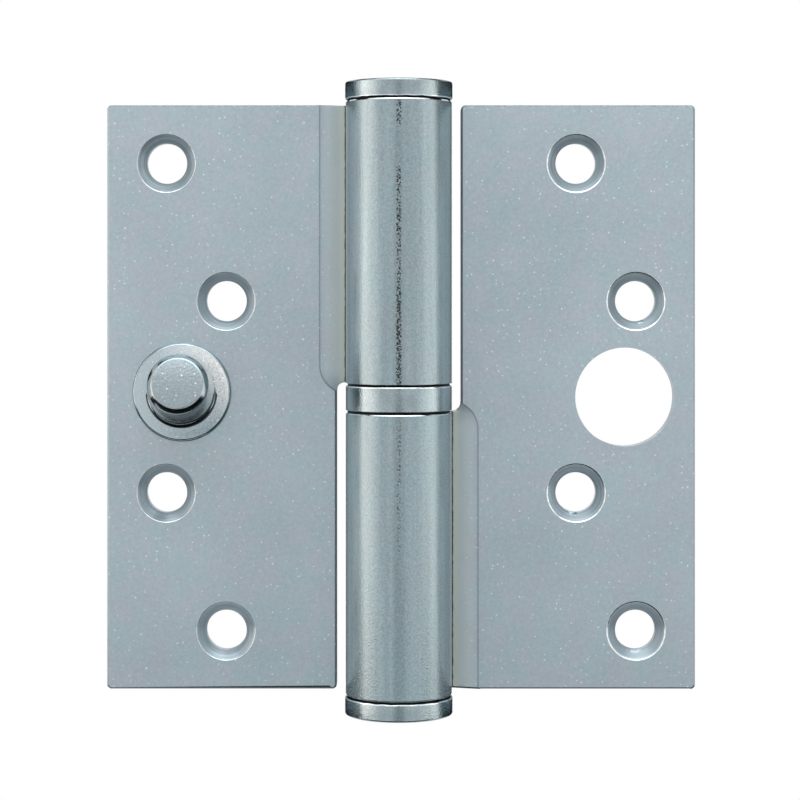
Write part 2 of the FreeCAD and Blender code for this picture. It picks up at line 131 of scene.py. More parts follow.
class HingeSizes(bpy.types.PropertyGroup):
    sheet_edge: length("Sheet edge", 0.15 * MM, "Rounding of the blanked edges of the leaves")
    lower_edge: length("Lower edge", 0.29 * MM, "Larger rounding of the lower blanked edges")
    countersink_edge: length("Countersink edge", 0.2 * MM, "Rounding of each countersink's rim")
    knuckle_edge: length("Knuckle edge", 0.07 * MM, "Rounding of the ends of the knuckles")
    lip_rise: length("Lip height", 0.18 * MM, "Height of the lip that turning left at the seams")
    lip_depth: length("Lip depth", 0.1 * MM, "Depth of the lip at the seams")
    seam_wear: length("Seam wear", 0.05 * MM, "Wear of the rims beside the bearing")
    burr: length("Burr", 0.06 * MM, "Unevenness of the knuckle ends and of the caps' rims")
    cap_edge: length("Cap edge", 0.32 * MM, "Rounding of the outer edge of the end caps")
    cap_seam: length("Cap seam", 0.3 * MM, "Height of the groove between a cap and its knuckle")
    cap_shoulder: length("Cap shoulder", 0.25 * MM, "Depth of the groove under a cap")
    band_wall: length("Band wall", 0.25 * MM, "Wall of the bearing band")
    band_edge: length("Band edge", 0.1 * MM, "Rounding of the edges of the bearing band")
    bearing_edge: length("Bearing edge", 0.05 * MM, "Rounding of the races and the cage")
    collar_edge: length("Collar edge", 0.35 * MM, "Rounding of the stud's collar at the front")
    stud_edge: length("Stud edge", 0.2 * MM, "Rounding of the stud's edges and of the pin's")
    stud_root: length("Stud root", 0.4 * MM, "Fillet between the stud and its collar")
    stud_lean: FloatProperty(
        name="Stud lean",
        description="Lean of the security stud towards the upper end",
        default=math.radians(13.2),
        unit="ROTATION",
    )
    turning_steps: IntProperty(
        name="Turning steps",
        description="Facets round a turned piece",
        default=128,
        min=24,
        max=256,
    )


def tone(name, code, description):
    """Setting that holds a colour, from its sRGB hex code."""
    return FloatVectorProperty(
        name=name, description=description, subtype="COLOR", default=linear(code)
    )


class HingeColours(bpy.types.PropertyGroup):
    sheet: tone("Sheet", "#A6B4BB", "Zinc on the flat of the leaves")
    knuckle: tone("Knuckle", "#8C9DA3", "Zinc on the rolled knuckles")
    cap: tone("Cap", "#98A7AC", "Bright zinc on the caps and the band")
    countersink: tone("Countersink", "#94A3AB", "Zinc on the turned countersinks")
    stud: tone("Stud", "#A8B6BC", "Zinc on the security stud")


class HingeStudio(bpy.types.PropertyGroup):
    lens: FloatProperty(
        name="Lens",
        description="Focal length for a sensor of 36 mm",
        default=103.5,
        unit="CAMERA",
    )
    shift: FloatProperty(
        name="Shift",
        description="Vertical shift of the lens, as a share of the picture's width",
        default=-0.144,
    )
    distance: length("Distance", 348.5 * MM, "Camera to the pin axis")
    camera_side: length("Camera side", 0.18 * MM, "Camera to the right of the pin axis")
    camera_height: length("Camera height", 17.1 * MM, "Camera above the middle of the hinge")
    floor_drop: length("Floor drop", 200 * MM, "Floor below the middle of the hinge")
    left_light: FloatProperty(
        name="Left light",
        description="Radiance of the left softbox, looked at squarely",
        default=1.95,
        min=0,
    )
    right_light: FloatProperty(
        name="Right light",
        description="Radiance of the right softbox, looked at squarely",
        default=1.08,
        min=0,
    )
    top_light: FloatProperty(
        name="Top light",
        description="Radiance of the softbox above the camera, looked at squarely",
        default=2.8,
        min=0,
    )


# Nodes and materials


def add_node(tree, kind, links=None, **settings):
    """Shader node with its settings, and the links or plain values of its sockets."""
    node = tree.nodes.new(f"ShaderNode{kind}")
    for name, value in settings.items():
        setattr(node, name, value)
    for socket, value in (links or {}).items():
        if isinstance(value, bpy.types.NodeSocket):
            tree.links.new(value, node.inputs[socket])
        else:
            node.inputs[socket].default_value = value
    return node


def new_material(name):
    """Material with an empty node tree, and that tree."""
    material = bpy.data.materials.new(name)
    material.use_nodes = True
    tree = material.node_tree
    tree.nodes.clear()
    return material, tree


def close_surface(tree, colour, roughness, bump, metallic=1.0):
    """Metal shader on the material's output, with its colour from a Mix node.

    metallic is under 1 where the haze of the passivation scatters part of the light.
    """
    shader = add_node(
        tree,
        "BsdfPrincipled",
        {
            "Base Color": colour.outputs[MIXED],
            "Metallic": metallic,
            "Roughness": roughness,
            "Normal": bump.outputs["Normal"],
        },
    )
    add_node(tree, "OutputMaterial", {"Surface": shader.outputs["BSDF"]})


def opaque(colour):
    """Colour with full alpha."""
    return (*colour, 1.0)


def set_stops(ramp, stops):
    """Give a colour ramp its stops, each a position and a colour with its alpha."""
    elements = ramp.color_ramp.elements
    elements.remove(elements[1])
    elements[0].position, elements[0].color = stops[0]
    for position, colour in stops[1:]:
        elements.new(position).color = colour


def specks(tree, place, spacing, reach, core=0.06):
    """Share of small bright specks, painted glints of tiny bumps, one in each cell and some fainter than
    others.

    A speck is full up to core and gone at reach, both as shares of its cell.
    """
    cells = add_node(tree, "TexVoronoi", {"Vector": place, "Scale": per(spacing)})
    fade = {"From Min": core, "From Max": reach, "To Min": 1.0, "To Max": 0.0}
    spot = add_node(tree, "MapRange", {"Value": cells.outputs["Distance"], **fade})
    lottery = add_node(tree, "SeparateColor", {"Color": cells.outputs["Color"]})
    share = add_node(
        tree, "Math", {0: spot.outputs["Result"], 1: lottery.outputs["Red"]}, operation="MULTIPLY"
    )
    return share.outputs["Value"]


def groove_shade_and_highlight(tree, place, across):
    """Painted shade and painted highlight beside the knuckle: a dull brown line of painted shade in the
    groove, and a pale run of painted highlight beside it.
    """
    sway = 0.12 * MM
    unevenness = add_node(tree, "TexNoise", {"Vector": place, "Scale": per(1.2), "Detail": 3.0})
    wander = add_node(
        tree, "MapRange", {"Value": unevenness.outputs["Fac"], "To Min": -sway, "To Max": sway}
    )
    wandering = add_node(
        tree, "Math", {0: across.outputs["Value"], 1: wander.outputs["Result"]}, operation="ADD"
    )
    groove = {"From Min": GROOVE_START, "From Max": GROOVE_END}
    share = add_node(tree, "MapRange", {"Value": wandering.outputs["Value"], **groove})
    # Brown is the painted shade in the groove, cream the painted highlight beside it
    brown, cream = linear("#45453C"), linear("#F0ECDC")
    painted_groove = add_node(tree, "ValToRGB", {"Fac": share.outputs["Result"]})
    stops = [
        (0.0, (*brown, 1)),
        (0.24, (*brown, 1)),
        (0.29, (*cream, 0)),
        (0.4, (*cream, 0.8)),
        (0.85, (*cream, 0)),
    ]
    set_stops(painted_groove, stops)
    return painted_groove


def swage_painted_light_and_shade(tree, apart, across):
    """Painted shade as a dark line along the crease round the swaged strip, and painted light that makes the
    strip paler towards the knuckle.
    """
    beyond = 0.5 * MM
    inward = add_node(
        tree, "Math", {0: across.outputs["Value"], 1: SWAGE_CREASE - SWAGE_ROUND}, operation="SUBTRACT"
    )
    side = add_node(tree, "Math", {0: apart.outputs["X"]}, operation="SIGN")
    mirrored = add_node(
        tree, "Math", {0: apart.outputs["Z"], 1: side.outputs["Value"]}, operation="MULTIPLY"
    )
    below = add_node(
        tree, "Math", {0: mirrored.outputs["Value"], 1: -1.0, 2: -SWAGE_START}, operation="MULTIPLY_ADD"
    )
    end = add_node(tree, "Math", {0: below.outputs["Value"], 1: 0.0}, operation="MINIMUM")
    corner = add_node(
        tree, "CombineXYZ", {"X": inward.outputs["Value"], "Y": end.outputs["Value"]}
    )
    reach = add_node(tree, "VectorMath", {0: corner.outputs["Vector"]}, operation="LENGTH")
    limits = {"From Min": 0.0, "From Max": SWAGE_ROUND + beyond}
    share = add_node(tree, "MapRange", {"Value": reach.outputs["Value"], **limits})
    # Pale is painted light on the swaged strip, dark the painted shade along its crease
    pale, dark = linear("#E3E9E9"), linear("#454E55")
    line = add_node(tree, "ValToRGB", {"Fac": share.outputs["Result"]})
    stops = [
        (0.0, (*pale, 0.95)),
        (0.35, (*pale, 0.7)),
        (0.7, (*pale, 0.2)),
        (0.83, (*pale, 0)),
        (0.86, (*dark, 0.2)),
        (0.89, (*dark, 0.55)),
        (0.92, (*dark, 0)),
    ]
    set_stops(line, stops)
    return line


def zinc_sheet():
    """Cold-rolled sheet, zinc plated: satin grey with a faint bloom, and bright specks that are small plating
    bumps with painted glints.

    The crystals of the plating are too fine to show, so its grain is drawn 0.45 mm wide.
    """
    material, tree = new_material("Zinc-plated steel sheet")
    colour = Vector(bpy.context.scene.hinge_colours.sheet)
    place = add_node(tree, "TexCoord").outputs["Object"]
    bloom = add_node(tree, "TexNoise", {"Vector": place, "Scale": per(3), "Detail": 5.0})
    cloud = add_node(tree, "TexNoise", {"Vector": place, "Scale": per(17), "Detail": 2.0})
    grain = add_node(tree, "TexNoise", {"Vector": place, "Scale": per(0.45), "Detail": 3.0})
    warm = opaque(colour + Vector((0.014, -0.01, 0.0)))
    cool = opaque(colour + Vector((-0.014, 0.006, 0.004)))
    bloom_share = add_node(
        tree, "MapRange", {"Value": bloom.outputs["Fac"], "From Min": 0.38, "From Max": 0.62}
    )
    tint = add_node(
        tree, "Mix", {FACTOR: bloom_share.outputs["Result"], FIRST: cool, SECOND: warm}, data_type="RGBA"
    )
    painted_lightness = add_node(
        tree, "MapRange", {"Value": grain.outputs["Fac"], **NOISE_SPREAD, "To Min": 0.94, "To Max": 1.06}
    )
    clouded = add_node(
        tree, "MapRange", {"Value": cloud.outputs["Fac"], **NOISE_SPREAD, "To Min": 0.96, "To Max": 1.04}
    )
    level = add_node(
        tree, "Math", {0: painted_lightness.outputs["Result"], 1: clouded.outputs["Result"]}, operation="MULTIPLY"
    )
    toned = add_node(
        tree, "VectorMath", {0: tint.outputs[MIXED], "Scale": level.outputs["Value"]}, operation="SCALE"
    )
    # Bright specks: painted glints, with a bump of their own
    speck = specks(tree, place, 0.8, 0.2)
    bright = opaque(linear("#E4ECEE"))
    surface = add_node(
        tree, "Mix", {FACTOR: speck, FIRST: toned.outputs["Vector"], SECOND: bright}, data_type="RGBA"
    )
    apart = add_node(tree, "SeparateXYZ", {"Vector": place})
    across = add_node(tree, "Math", {0: apart.outputs["X"]}, operation="ABSOLUTE")
    front = add_node(
        tree, "Math", {0: apart.outputs["Y"], 1: LEAF_FRONT + SWAGE_DEPTH}, operation="LESS_THAN"
    )
    # Painted light and shade on the swaged strip and in the groove, laid over the front of the sheet
    for layer in (swage_painted_light_and_shade(tree, apart, across), groove_shade_and_highlight(tree, place, across)):
        share = add_node(
            tree, "Math", {0: layer.outputs["Alpha"], 1: front.outputs["Value"]}, operation="MULTIPLY"
        )
        colours = {FIRST: surface.outputs[MIXED], SECOND: layer.outputs["Color"]}
        surface = add_node(tree, "Mix", {FACTOR: share.outputs["Value"], **colours}, data_type="RGBA")
    roughness = add_node(
        tree, "MapRange", {"Value": bloom.outputs["Fac"], **NOISE_SPREAD, "To Min": 0.3, "To Max": 0.37}
    )
    relief = add_node(tree, "Math", {0: speck, 1: grain.outputs["Fac"]}, operation="ADD")
    bump = add_node(
        tree, "Bump", {"Height": relief.outputs["Value"], "Strength": 0.35, "Distance": 0.02 * MM}
    )
    close_surface(tree, surface, roughness.outputs["Result"], bump, metallic=0.74)
    return material


def painted_camera_reflection(tree, place):
    """Share of a dark streak of pits and scribbles down the front of the knuckles: a painted reflection of
    the camera.
    """
    apart = add_node(tree, "SeparateXYZ", {"Vector": place})
    across = add_node(tree, "Math", {0: apart.outputs["X"]}, operation="ABSOLUTE")
    fade = {"From Min": 0.25 * MM, "From Max": 1.1 * MM, "To Min": 1.0, "To Max": 0.0}
    near = add_node(tree, "MapRange", {"Value": across.outputs["Value"], **fade})
    front = add_node(tree, "Math", {0: apart.outputs["Y"], 1: 0.0}, operation="LESS_THAN")
    height = add_node(
        tree, "MapRange", {"Value": apart.outputs["Z"], "From Min": -KNUCKLE_TOP, "From Max": KNUCKLE_TOP}
    )
    # Height in millimetres and strength of the painted streak there
    lower = ((-44, 0.5), (-26, 0.5), (-22, 0.78), (-2.2, 0.82))
    upper = ((2.2, 1.0), (16, 1.0), (18, 0.9), (21, 0.88), (24, 0.96), (34, 0.92))
    crown = ((36, 0.65), (40, 0.65), (41.5, 1.0), (44, 0.9))
    strengths = (*lower, *upper, *crown)
    along = add_node(tree, "ValToRGB", {"Fac": height.outputs["Result"]})
    set_stops(along, [(z * MM / KNUCKLE_TOP / 2 + 0.5, opaque((grey,) * 3)) for z, grey in strengths])
    pits = add_node(tree, "TexNoise", {"Vector": place, "Scale": per(0.32), "Detail": 3.0, "Roughness": 0.65})
    share = pits.outputs["Fac"]
    for other in (near.outputs["Result"], front.outputs["Value"], along.outputs["Color"]):
        share = add_node(tree, "Math", {0: share, 1: other}, operation="MULTIPLY").outputs["Value"]
    painted_streak = add_node(tree, "MapRange", {"Value": share, "From Min": 0.4, "From Max": 0.52, "To Max": 0.9})
    return painted_streak.outputs["Result"]


def rolled_zinc():
    """Sheet rolled round a mandrel, then plated: brighter, grainy, with fine lines along the roll.

    Its lines and its grain are finer than a pixel, so they are drawn 0.9 mm and 0.3 mm wide.
    """
    material, tree = new_material("Zinc-plated steel, rolled")
    colour = Vector(bpy.context.scene.hinge_colours.knuckle)
    place = add_node(tree, "TexCoord").outputs["Object"]
    stretched = add_node(tree, "Mapping", {"Vector": place, "Scale": (1.0, 1.0, 0.03)})
    lines = add_node(
        tree, "TexNoise", {"Vector": stretched.outputs["Vector"], "Scale": per(0.9), "Detail": 3.0}
    )
    grain = add_node(tree, "TexNoise", {"Vector": place, "Scale": per(0.3), "Detail": 3.0, "Roughness": 0.6})
    bloom = add_node(tree, "TexNoise", {"Vector": place, "Scale": per(6), "Detail": 3.0})
    warm = opaque(colour + Vector((0.02, -0.01, -0.01)))
    cool = opaque(colour + Vector((-0.02, 0.01, 0.01)))
    tint = add_node(
        tree, "Mix", {FACTOR: bloom.outputs["Fac"], FIRST: cool, SECOND: warm}, data_type="RGBA"
    )
    streaks = add_node(
        tree, "MapRange", {"Value": lines.outputs["Fac"], **NOISE_SPREAD, "To Min": 0.92, "To Max": 1.06}
    )
    speckle = add_node(
        tree, "MapRange", {"Value": grain.outputs["Fac"], **NOISE_SPREAD, "To Min": 0.82, "To Max": 1.16}
    )
    level = add_node(
        tree, "Math", {0: streaks.outputs["Result"], 1: speckle.outputs["Result"]}, operation="MULTIPLY"
    )
    toned = add_node(
        tree, "VectorMath", {0: tint.outputs[MIXED], "Scale": level.outputs["Value"]}, operation="SCALE"
    )
    roughness = add_node(
        tree, "MapRange", {"Value": grain.outputs["Fac"], **NOISE_SPREAD, "To Min": 0.14, "To Max": 0.24}
    )
    # Dark streak down the front: a painted reflection of the camera, with a bump of its own
    painted_streak = painted_camera_reflection(tree, place)
    dark = opaque(linear("#15191B"))
    surface = add_node(
        tree, "Mix", {FACTOR: painted_streak, FIRST: toned.outputs["Vector"], SECOND: dark}, data_type="RGBA"
    )
    relief = add_node(tree, "Math", {0: grain.outputs["Fac"], 1: painted_streak}, operation="SUBTRACT")
    bump = add_node(
        tree, "Bump", {"Height": relief.outputs["Value"], "Strength": 0.6, "Distance": 0.06 * MM}
    )
    close_surface(tree, surface, roughness.outputs["Result"], bump, metallic=0.72)
    return material


def bright_zinc():
    """Turned steel, barrel plated: near mirror finish with faint smears and rubbed spots.

    The dents from the plating barrel are too fine to show, so they are drawn 0.22 mm wide.
    """
    material, tree = new_material("Zinc-plated steel, bright")
    colour = Vector(bpy.context.scene.hinge_colours.cap)
    place = add_node(tree, "TexCoord").outputs["Object"]
    smears = add_node(tree, "TexNoise", {"Vector": place, "Scale": per(2.5), "Detail": 4.0})
    grain = add_node(tree, "TexNoise", {"Vector": place, "Scale": per(0.22), "Detail": 3.0})
    mottle = add_node(tree, "Math", {0: smears.outputs["Fac"], 1: grain.outputs["Fac"]}, operation="MULTIPLY")
    share = add_node(
        tree, "MapRange", {"Value": mottle.outputs["Value"], "From Min": 0.12, "From Max": 0.4}
    )
    shades = {FIRST: opaque(colour * 0.82), SECOND: opaque(colour * 1.14)}
    tint = add_node(tree, "Mix", {FACTOR: share.outputs["Result"], **shades}, data_type="RGBA")
    roughness = add_node(
        tree, "MapRange", {"Value": smears.outputs["Fac"], **NOISE_SPREAD, "To Min": 0.12, "To Max": 0.22}
    )
    bump = add_node(
        tree, "Bump", {"Height": grain.outputs["Fac"], "Strength": 0.45, "Distance": 0.06 * MM}
    )
    close_surface(tree, tint, roughness.outputs["Result"], bump)
    return material


def stud_zinc(name, painted_lightness, rubbed=None):
    """Upset steel, zinc plated: grainy, with bright specks where the skin was torn, small bumps with painted
    glints.

    rubbed is the middle of a painted highlight, lightest there. The colour is scaled by a lightness: above 1
    a painted sheen, as on the collar, below 1 painted shade, as on the end.
    """
    material, tree = new_material(name)
    colour = Vector(bpy.context.scene.hinge_colours.stud) * painted_lightness
    place = add_node(tree, "TexCoord").outputs["Object"]
    grain = add_node(tree, "TexNoise", {"Vector": place, "Scale": per(0.35), "Detail": 4.0})
    shades = {FIRST: opaque(colour * 0.85), SECOND: opaque(colour * 1.12)}
    tint = add_node(tree, "Mix", {FACTOR: grain.outputs["Fac"], **shades}, data_type="RGBA")
    # Bright specks: painted glints, with a bump of their own
    speck = specks(tree, place, 0.7, 0.24)
    bright = opaque(linear("#E9EFF0"))
    surface = add_node(
        tree, "Mix", {FACTOR: speck, FIRST: tint.outputs[MIXED], SECOND: bright}, data_type="RGBA"
    )
    # Painted highlight round the middle given as rubbed
    if rubbed:
        reach = add_node(tree, "VectorMath", {0: place, 1: rubbed}, operation="DISTANCE")
        fade = {"From Min": 1.5 * MM, "From Max": 8.5 * MM, "To Min": 0.9, "To Max": 0.0}
        painted_highlight = add_node(tree, "MapRange", {"Value": reach.outputs["Value"], **fade})
        shades = {FIRST: surface.outputs[MIXED], SECOND: opaque(linear("#F6F9FA"))}
        surface = add_node(tree, "Mix", {FACTOR: painted_highlight.outputs["Result"], **shades}, data_type="RGBA")
    roughness = add_node(
        tree, "MapRange", {"Value": grain.outputs["Fac"], **NOISE_SPREAD, "To Min": 0.16, "To Max": 0.3}
    )
    relief = add_node(tree, "Math", {0: grain.outputs["Fac"], 1: speck}, operation="ADD")
    bump = add_node(
        tree, "Bump", {"Height": relief.outputs["Value"], "Strength": 0.5, "Distance": 0.04 * MM}
    )
    close_surface(tree, surface, roughness.outputs["Result"], bump, metallic=0.85)
    return material


def turned_metal(name, colour, roughness, line, along=(0.05, 0.05, 1.0), metallic=1.0):
    """Turned or ground metal with fine rings of the tool or the wheel round its axis.

    line is the width of a ring in millimetres, drawn wider than the real one so that it shows.
    """
    material, tree = new_material(name)
    place = add_node(tree, "TexCoord").outputs["Object"]
    squashed = add_node(tree, "Mapping", {"Vector": place, "Scale": along})
    rings = add_node(
        tree, "TexNoise", {"Vector": squashed.outputs["Vector"], "Scale": per(line), "Detail": 3.0}
    )
    depth = add_node(
        tree, "MapRange", {"Value": rings.outputs["Fac"], "From Min": 0.35, "From Max": 0.65}
    )
    shades = {FIRST: opaque(Vector(colour) * 0.82), SECOND: opaque(Vector(colour) * 1.12)}
    tint = add_node(tree, "Mix", {FACTOR: depth.outputs["Result"], **shades}, data_type="RGBA")
    bump = add_node(
        tree, "Bump", {"Height": rings.outputs["Fac"], "Strength": 0.3, "Distance": 0.02 * MM}
    )
    close_surface(tree, tint, roughness, bump, metallic)
    return material


def burnished_rim_with_painted_highlight():
    """Rim that the tool pressed smooth, lighter in colour as a painted highlight, with uneven painted glints.
    """
    name, colour = "Zinc-plated steel, burnished, painted highlight", linear("#D6E0E4")
    return turned_metal(name, colour, roughness=0.14, line=0.6, along=(1.0, 1.0, 1.0))


def sheared_edge_in_painted_shade():
    """Blanked edge of the sheet: dull, and dark as painted shade on the edges that face down and those beside
    the knuckle.
    """
    name, colour = "Zinc-plated steel, sheared, painted shade", linear("#5A636A")
    return turned_metal(name, colour, roughness=0.5, line=0.3, along=(1.0, 0.1, 1.0))


def cut_edge():
    """Blanked edge on the punch side: smooth and plated, a little duller than the face."""
    name, colour = "Zinc-plated steel, cut", linear("#97A6AD")
    return turned_metal(name, colour, roughness=0.5, line=0.3, along=(1.0, 0.1, 1.0), metallic=0.6)


def blackened_steel_painted_seam_shade():
    """Turned steel, phosphated and greased, and nearly black as painted shade in the seams, on the races and
    in the groove under each cap.
    """
    return turned_metal("Phosphated steel, greased, painted seam shade", linear("#151617"), roughness=0.45, line=0.2)


# Mesh steps that several pieces share


def copy_of_node(node):
    """Merged copy of a CAD node's mesh, without the edges that cross its flat faces."""
    piece = bmesh.new()
    piece.from_mesh(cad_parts[node].data)
    bmesh.ops.remove_doubles(piece, verts=piece.verts, dist=MERGE)
    bmesh.ops.dissolve_limit(piece, angle_limit=LEVEL, verts=piece.verts, edges=piece.edges)
    return piece


def turned(outline, ring=False):
    """Bmesh turned round the Z axis from an outline of radius and height."""
    piece = bmesh.new()
    verts = [piece.verts.new((radius, 0, height)) for radius, height in outline]
    ends = verts[1:] + verts[:1] if ring else verts[1:]
    edges = [piece.edges.new(pair) for pair in zip(verts, ends)]
    bmesh.ops.spin(
        piece,
        geom=verts + edges,
        cent=(0, 0, 0),
        axis=(0, 0, 1),
        angle=math.tau,
        steps=bpy.context.scene.hinge_sizes.turning_steps,
        use_merge=True,
    )
    bmesh.ops.remove_doubles(piece, verts=piece.verts, dist=MERGE)
    bmesh.ops.recalc_face_normals(piece, faces=piece.faces)
    return piece


def bevel(piece, edges, width, segments, clamp=True):
    """Bevel some edges, and leave the faces beside them their materials."""
    bmesh.ops.bevel(
        piece,
        geom=edges,
        offset=width,
        offset_type="OFFSET",
        affect="EDGES",
        segments=segments,
        profile=0.5,
        material=-1,
        clamp_overlap=clamp,
    )


def middle(edge):
    """Middle of an edge."""
    return (edge.verts[0].co + edge.verts[1].co) / 2


def round_edges(piece, width, chosen=lambda place: True, segments=3, clamp=True):
    """Round the sharp edges whose middle is chosen."""
    edges = [
        edge
        for edge in piece.edges
        if edge.is_manifold and edge.calc_face_angle() > SHARP and chosen(middle(edge))
    ]
    bevel(piece, edges, width, segments, clamp)


def roughen_rims(piece, height, depth, grain, worn=0):
    """Move the corners of the rims at a height by a worn amount and uneven ones."""
    for vert in piece.verts:
        if abs(abs(vert.co.z) - height) < 2 * depth and vert.co.xy.length < BARREL + MERGE:
            vert.co.z += math.copysign(worn + noise.noise(vert.co / grain) * depth, vert.co.z)


def cut_lip(piece, rim, rise, depth):
    """Steep lip round the upper rim of a knuckle, which catches the light from above."""

    def on_rim(vert, height):
        return abs(vert.co.z - height) < MERGE and abs(vert.co.xy.length - BARREL) < 10 * MERGE

    edges = [edge for edge in piece.edges if all(on_rim(vert, rim) for vert in edge.verts)]
    bevel(piece, edges, depth, segments=1)
    for vert in piece.verts:
        if on_rim(vert, rim - depth):
            vert.co.z = rim - rise


def is_lip(upward):
    """Whether a face is a steep lip, from how far its normal points out of the rim."""
    return LIP_TILT[0] < upward < LIP_TILT[1]


def finished(name, piece, nodes, body, materials, sharp=SHARP):
    """Make the piece an object that rides on a body in place of its CAD nodes."""
    mesh = bpy.data.meshes.new(name)
    piece.to_mesh(mesh)
    piece.free()
    mesh.shade_smooth()
    mesh.set_sharp_from_angle(angle=sharp)
    for material in materials:
        mesh.materials.append(material)
    item = bpy.data.objects.new(name, mesh)
    bpy.context.scene.collection.objects.link(item)
    weighted = item.modifiers.new("Weighted normals", "WEIGHTED_NORMAL")
    weighted.keep_sharp = True
    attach(item, body)
    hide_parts(*nodes)


# Operators, one for each piece or group of like pieces


class HINGE_OT_leaves(bpy.types.Operator):
    """Both leaves with their rolled knuckles, edges rounded and knuckle ends left a little rough"""

    bl_idname = "hinge.leaves"
    bl_label = "Leaves"

    def execute(self, context):
        sizes = context.scene.hinge_sizes
        name, colour = "Zinc-plated steel, countersunk", context.scene.hinge_colours.countersink
        round_hole = (0.03, 1.0, 0.03)
        cones = turned_metal(name, colour, roughness=0.34, line=0.26, along=round_hole, metallic=0.6)
        materials = [zinc_sheet(), rolled_zinc(), cones, sheared_edge_in_painted_shade(), burnished_rim_with_painted_highlight(), cut_edge()]
        front = LEAF_FRONT + MERGE
        for node, body, rim in (
            ("door_leaf", "door_side", KNUCKLE_TOP),
            ("frame_leaf", "frame_side", -KNUCKLE_FOOT),
        ):
            piece = copy_of_node(node)
            cut_lip(piece, rim, sizes.lip_rise, sizes.lip_depth)
            round_edges(
                piece,
                sizes.countersink_edge,
                lambda place: place.y < front and self.near_screw(place),
                segments=4,
            )
            heights = [
                vert.co.z for vert in piece.verts if vert.co.y < front and abs(vert.co.x) > BARREL
            ]
            foot, crown = min(heights), max(heights)
            # Clamping would shrink the rounding to the short edges where strip and leaf meet
            round_edges(
                piece,
                sizes.lower_edge,
                lambda place: place.z < foot + MERGE and place.y < LEAF_FRONT + SWAGE_DEPTH,
                segments=4,
                clamp=False,
            )
            round_edges(piece, sizes.knuckle_edge, lambda place: place.xy.length < BARREL + MERGE)
            round_edges(piece, sizes.sheet_edge)
            roughen_rims(piece, KNUCKLE_FOOT, sizes.burr, grain=0.6 * MM, worn=sizes.seam_wear)
            roughen_rims(piece, KNUCKLE_TOP, sizes.burr / 2, grain=0.5 * MM)
            piece.normal_update()
            low = foot + 2 * sizes.lower_edge
            high = crown - 2 * sizes.sheet_edge
            for face in piece.faces:
                face.material_index = self.finish_of(face, low, high)
            finished(f"{node}_plated", piece, [node], body, materials, CREASE)
        return {"FINISHED"}

    def near_screw(self, place):
        """Whether a place lies in the rows of screw holes, clear of the stud and the outline."""
        in_rows = SCREWS_ACROSS[0] < abs(place.x) < SCREWS_ACROSS[1]
        return in_rows and SCREWS_UP[0] < abs(place.z) < SCREWS_UP[1]

    def finish_of(self, face, low, high):
        """Material of a face. The rounded edges of the leaf lie below low and above high."""
        place, normal = face.calc_center_median(), face.normal
        # Lips and countersink rims take the rim with a painted highlight
        if place.xy.length < BARREL:
            return BURNISHED_PAINTED_HIGHLIGHT if is_lip(normal.z) else ROLLED
        if abs(place.x) < SWAGE_CREASE and normal.y > MOSTLY:
            return ROLLED
        if self.near_screw(place) and RIM_TILT < normal.y < WALL_TILT:
            return CONE if normal.y > CONE_TILT else BURNISHED_PAINTED_HIGHLIGHT
        # Edges that face down, and those beside the knuckle, take the painted shade
        if place.z < low and normal.z < -EDGE_TILT:
            return SHEARED_PAINTED_SHADE
        if place.z > high and normal.z > EDGE_TILT:
            return CUT
        if abs(place.x) < GROOVE_END and abs(normal.x) > MOSTLY:
            return SHEARED_PAINTED_SHADE
        return FACE


class HINGE_OT_end_caps(bpy.types.Operator):
    """Top and bottom caps with a fine groove where they meet the knuckles"""

    bl_idname = "hinge.end_caps"
    bl_label = "End caps"

    def execute(self, context):
        sizes = context.scene.hinge_sizes
        materials = [bright_zinc(), blackened_steel_painted_seam_shade(), burnished_rim_with_painted_highlight()]
        seam, lip = 1, 2
        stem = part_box("hinge_pin")[1].x
        shoulder = BARREL - sizes.cap_shoulder
        rim_foot = KNUCKLE_TOP + sizes.cap_seam
        outline = [
            (0, STEM_END),
            (stem, STEM_END),
            (stem, KNUCKLE_TOP),
            (shoulder, KNUCKLE_TOP),
            (shoulder, rim_foot),
            (CAP_RIM - sizes.lip_depth, rim_foot),
            (CAP_RIM, rim_foot + sizes.lip_rise),
            (CAP_RIM, CAP_FACE),
            (0, CAP_FACE),
        ]
        grain = 1.5 * MM
        for node, body, turn in (("top_cap", "door_side", 0), ("bottom_cap", "frame_side", 180)):
            piece = turned(outline)
            round_edges(piece, sizes.cap_edge, lambda place: place.z > CAP_FACE - MERGE, 5)
            for vert in piece.verts:
                beside_seam = rim_foot - MERGE < vert.co.z < rim_foot + 2 * sizes.lip_rise
                if beside_seam and vert.co.xy.length > shoulder + MERGE:
                    vert.co.z += noise.noise(vert.co / grain) * sizes.burr
            piece.normal_update()
            # The groove under each cap takes the black of painted shade, and the lip the rim with a painted
            # highlight
            for face in piece.faces:
                place = face.calc_center_median()
                if place.z < rim_foot + MERGE and place.xy.length < BARREL:
                    face.material_index = seam
                elif is_lip(-face.normal.z):
                    face.material_index = lip
            spun = Matrix.Rotation(math.radians(turn), 4, "Y")
            bmesh.ops.transform(piece, matrix=spun, verts=piece.verts)
            finished(f"{node}_plated", piece, [node], body, materials)
        return {"FINISHED"}


